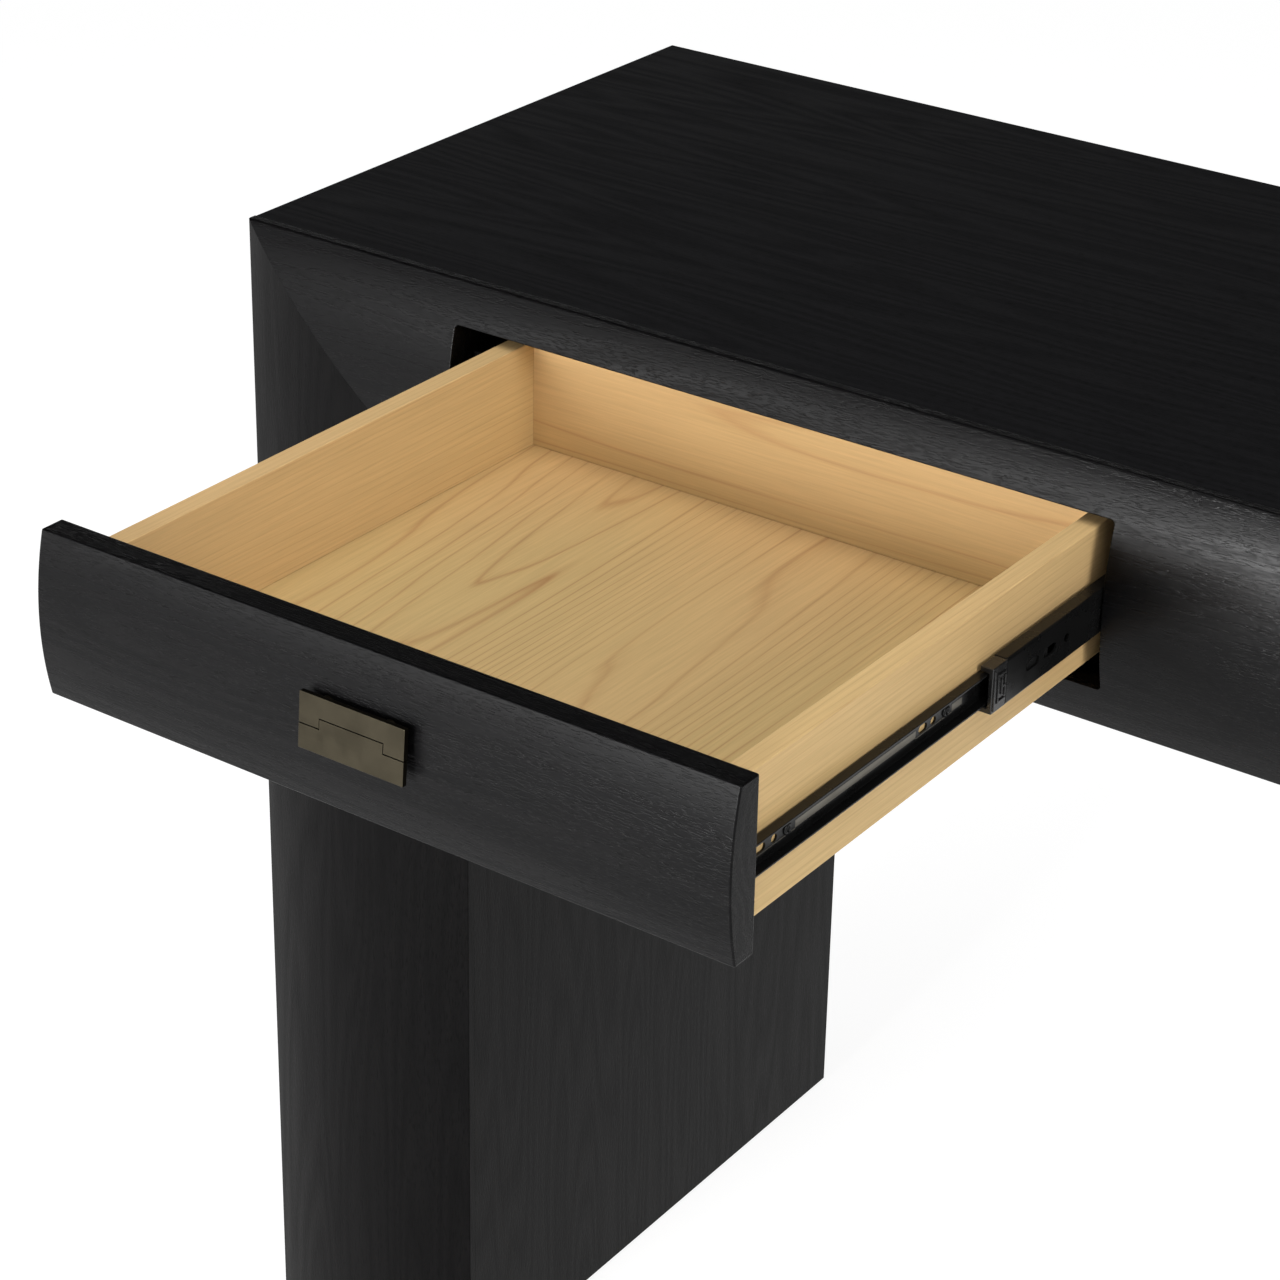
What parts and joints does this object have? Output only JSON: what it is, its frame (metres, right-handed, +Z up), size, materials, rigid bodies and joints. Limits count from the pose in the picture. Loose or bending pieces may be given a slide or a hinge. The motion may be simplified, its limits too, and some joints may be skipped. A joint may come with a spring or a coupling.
{
  "type": "console table",
  "caption": "Long console table on two slab legs with a pillowed, mitred front frame, two inset drawers on ball-bearing slides and drop pulls.",
  "frame": {"origin": "on the floor, at the middle of the box around the table with its left drawer open, as stored", "axes": "+X along the table to the right drawer, +Y from the front to the back, +Z up"},
  "size_m": [1.524, 0.8294, 0.83],
  "materials": {
    "black_oak": "black-stained open-grain hardwood, satin",
    "drawer_maple": "clear-lacquered pale softwood with fine brown growth lines",
    "slide_steel": "black electrophoretic coating, semi-gloss",
    "retainer_plastic": "black moulded plastic",
    "pull_bronze": "dark bronze, fine brushed satin",
    "glide_plastic": "black moulded plastic"
  },
  "bodies": {
    "table": {"back_apron": "black_oak", "case_bottom": "black_oak", "drawer_partition_left": "black_oak", "drawer_partition_right": "black_oak", "front_apron": "black_oak", "glide_left_back_inner": "glide_plastic", "glide_left_back_outer": "glide_plastic", "glide_left_front_inner": "glide_plastic", "glide_left_front_outer": "glide_plastic", "glide_right_back_inner": "glide_plastic", "glide_right_back_outer": "glide_plastic", "glide_right_front_inner": "glide_plastic", "glide_right_front_outer": "glide_plastic", "leg_back_panel_left": "black_oak", "leg_back_panel_right": "black_oak", "leg_base_left": "black_oak", "leg_base_right": "black_oak", "leg_front_left": "black_oak", "leg_front_right": "black_oak", "leg_inner_panel_left": "black_oak", "leg_inner_panel_right": "black_oak", "leg_outer_panel_left": "black_oak", "leg_outer_panel_right": "black_oak", "slide_cabinet_left_inner": "slide_steel", "slide_cabinet_left_outer": "slide_steel", "slide_cabinet_right_inner": "slide_steel", "slide_cabinet_right_outer": "slide_steel", "slide_spacer_left": "black_oak", "slide_spacer_right": "black_oak", "top_panel": "black_oak"},
    "drawer_left": {"drawer_back_left": "drawer_maple", "drawer_bottom_left": "drawer_maple", "drawer_front_left": "black_oak", "drawer_side_left_inner": "drawer_maple", "drawer_side_left_outer": "drawer_maple", "pull_pin_left": "pull_bronze", "pull_plate_left": "pull_bronze", "slide_inner_left_inner": "slide_steel", "slide_inner_left_outer": "slide_steel"},
    "drawer_right": {"drawer_back_right": "drawer_maple", "drawer_bottom_right": "drawer_maple", "drawer_front_right": "black_oak", "drawer_side_right_inner": "drawer_maple", "drawer_side_right_outer": "drawer_maple", "pull_pin_right": "pull_bronze", "pull_plate_right": "pull_bronze", "slide_inner_right_inner": "slide_steel", "slide_inner_right_outer": "slide_steel"},
    "slide_middles_left": {"slide_middle_left_inner": "slide_steel", "slide_middle_left_outer": "slide_steel", "slide_retainer_left_inner": "retainer_plastic", "slide_retainer_left_outer": "retainer_plastic"},
    "slide_middles_right": {"slide_middle_right_inner": "slide_steel", "slide_middle_right_outer": "slide_steel", "slide_retainer_right_inner": "retainer_plastic", "slide_retainer_right_outer": "retainer_plastic"},
    "pull_flap_left": {"pull_flap_left": "pull_bronze"},
    "pull_flap_right": {"pull_flap_right": "pull_bronze"}
  },
  "joints": [
    {"name": "drawer_left_slide", "type": "slide", "parent": "table", "child": "drawer_left", "axis": [0, -1, 0], "range_m": [-0.348, 0]},
    {"name": "drawer_right_slide", "type": "slide", "parent": "table", "child": "drawer_right", "axis": [0, -1, 0], "range_m": [0, 0.348]},
    {"name": "slide_middles_left_slide", "type": "slide", "parent": "table", "child": "slide_middles_left", "axis": [0, -1, 0], "range_m": [-0.13572, 0]},
    {"name": "slide_middles_right_slide", "type": "slide", "parent": "table", "child": "slide_middles_right", "axis": [0, -1, 0], "range_m": [0, 0.13572]},
    {"name": "pull_flap_left_hinge", "type": "hinge", "parent": "drawer_left", "child": "pull_flap_left", "pos_m": [-0.368, -0.41264, 0.75896], "axis": [-1, 0, 0], "range_deg": [0, 75]},
    {"name": "pull_flap_right_hinge", "type": "hinge", "parent": "drawer_right", "child": "pull_flap_right", "pos_m": [0.368, -0.06464, 0.75896], "axis": [-1, 0, 0], "range_deg": [0, 75]}
  ],
  "couplings": [
    {"joint": "slide_middles_left_slide", "follows": "drawer_left_slide", "ratio": 0.39},
    {"joint": "slide_middles_right_slide", "follows": "drawer_right_slide", "ratio": 0.39}
  ]
}
